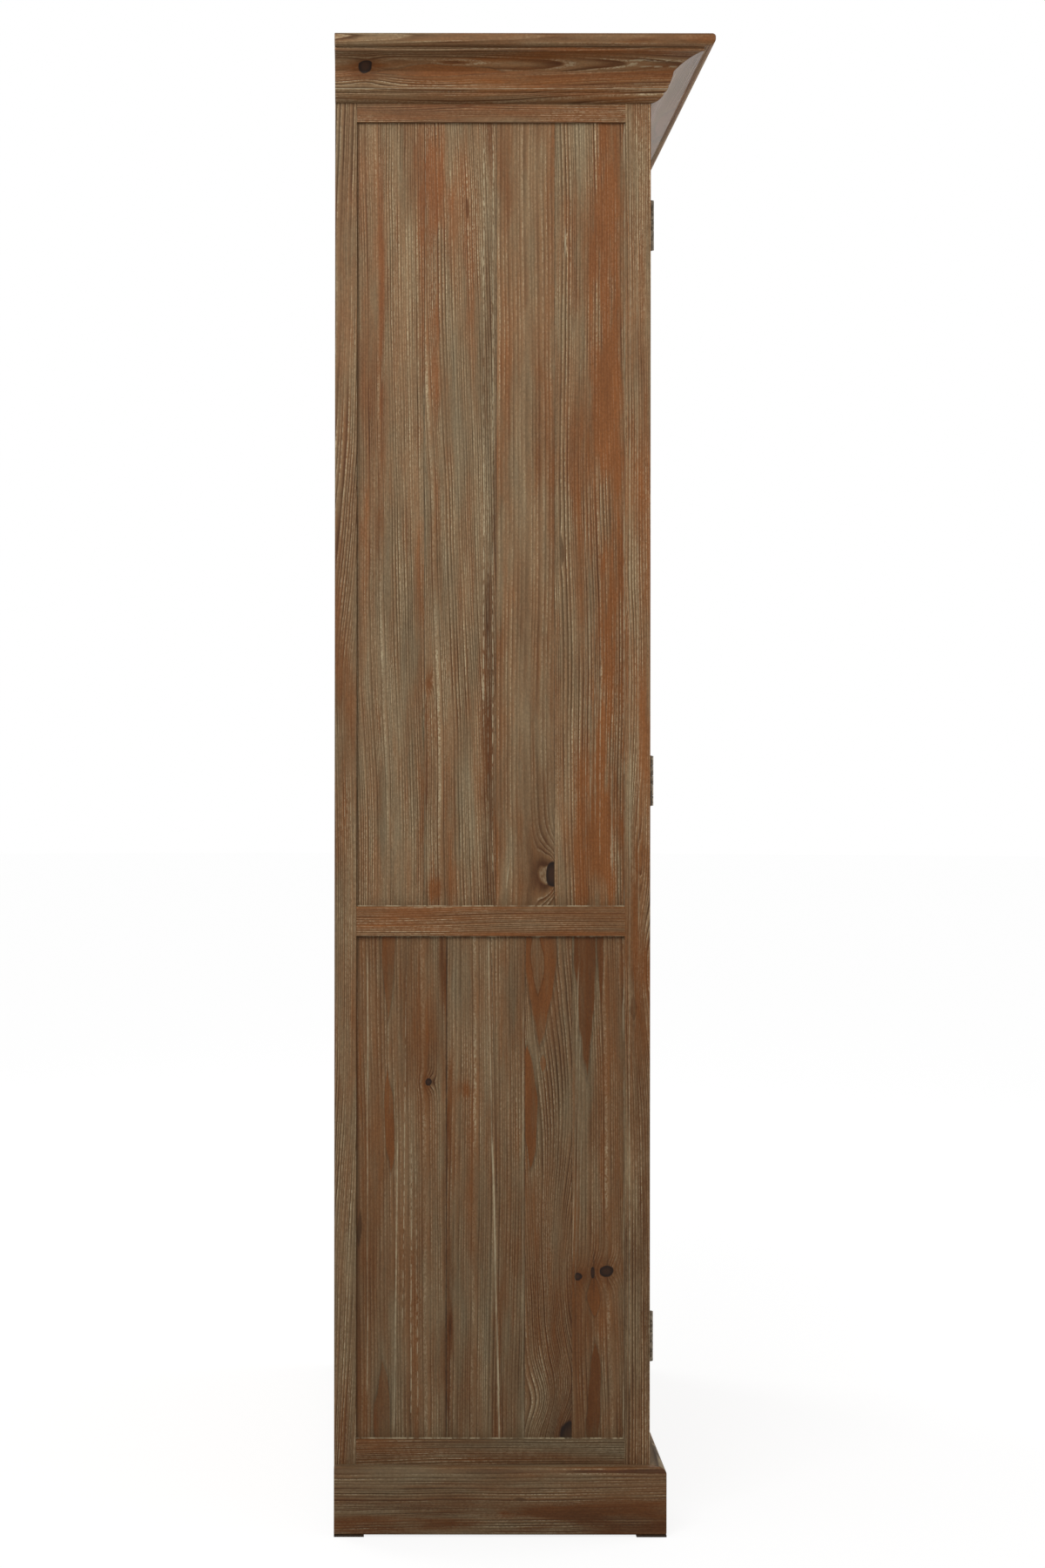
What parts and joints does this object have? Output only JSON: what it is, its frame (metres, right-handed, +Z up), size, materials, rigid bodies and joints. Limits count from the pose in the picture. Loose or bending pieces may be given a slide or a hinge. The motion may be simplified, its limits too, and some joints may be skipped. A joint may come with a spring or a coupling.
{
  "type": "two-door cabinet",
  "caption": "Tall limed-pine cupboard with panelled sides and doors on butt hinges, a moulded cornice, a plinth and shelves behind the doors.",
  "frame": {"origin": "on the floor, under the middle of the cabinet's whole plan, cornice and plinth included", "axes": "+Z up; the doors face -Y; +X to the right of someone who looks at the doors"},
  "size_m": [1.274, 0.562, 2.235],
  "materials": {
    "limed_pine": "brushed old pine with a thin grey lime wash, matt",
    "bare_pine": "plain sawn pine, unwashed, matt",
    "dark_pine": "worn dark pine, matt",
    "aged_steel": "aged pewter-grey steel, half matt",
    "zinc_plate": "zinc-plated sheet",
    "catch_plastic": "brown moulded plastic"
  },
  "bodies": {
    "carcass": {"back_boards": "bare_pine", "back_rails": "bare_pine", "ceiling_board": "bare_pine", "cornice_blocks": "bare_pine", "cornice_front": "limed_pine", "cornice_left": "limed_pine", "cornice_right": "limed_pine", "floor_board": "bare_pine", "floor_cleats": "bare_pine", "foot_pads": "dark_pine", "frame_hinge_leaves": "aged_steel", "frame_hinge_screws": "aged_steel", "front_bottom_rail": "limed_pine", "front_top_rail": "limed_pine", "hinge_pins": "aged_steel", "left_back_post": "limed_pine", "left_bottom_rail": "limed_pine", "left_front_post": "limed_pine", "left_lower_panel": "limed_pine", "left_mid_rail": "limed_pine", "left_top_rail": "limed_pine", "left_upper_panel": "limed_pine", "loose_shelves": "bare_pine", "magnetic_catches": "catch_plastic", "middle_shelf": "bare_pine", "plinth_front": "limed_pine", "plinth_left": "limed_pine", "plinth_right": "limed_pine", "right_back_post": "limed_pine", "right_bottom_rail": "limed_pine", "right_front_post": "limed_pine", "right_lower_panel": "limed_pine", "right_mid_rail": "limed_pine", "right_top_rail": "limed_pine", "right_upper_panel": "limed_pine", "shelf_cleats": "bare_pine", "shelf_standards": "bare_pine", "top_board": "limed_pine"},
    "left_door": {"left_door_bottom_rail": "limed_pine", "left_door_hinge_leaves": "aged_steel", "left_door_hinge_screws": "aged_steel", "left_door_hinge_stile": "limed_pine", "left_door_knob": "aged_steel", "left_door_lower_panel": "limed_pine", "left_door_meeting_stile": "limed_pine", "left_door_mid_rail": "limed_pine", "left_door_strike_plate": "zinc_plate", "left_door_top_rail": "limed_pine", "left_door_upper_panel": "limed_pine"},
    "right_door": {"right_door_bottom_rail": "limed_pine", "right_door_hinge_leaves": "aged_steel", "right_door_hinge_screws": "aged_steel", "right_door_hinge_stile": "limed_pine", "right_door_knob": "aged_steel", "right_door_lower_panel": "limed_pine", "right_door_meeting_stile": "limed_pine", "right_door_mid_rail": "limed_pine", "right_door_strike_plate": "zinc_plate", "right_door_top_rail": "limed_pine", "right_door_upper_panel": "limed_pine"}
  },
  "joints": [
    {"name": "left_door_hinge", "type": "hinge", "parent": "carcass", "child": "left_door", "pos_m": [-0.50375, -0.1988, 1.1305], "axis": [0, 0, -1], "range_deg": [0, 180]},
    {"name": "right_door_hinge", "type": "hinge", "parent": "carcass", "child": "right_door", "pos_m": [0.50375, -0.1988, 1.1305], "axis": [0, 0, 1], "range_deg": [0, 180]}
  ]
}
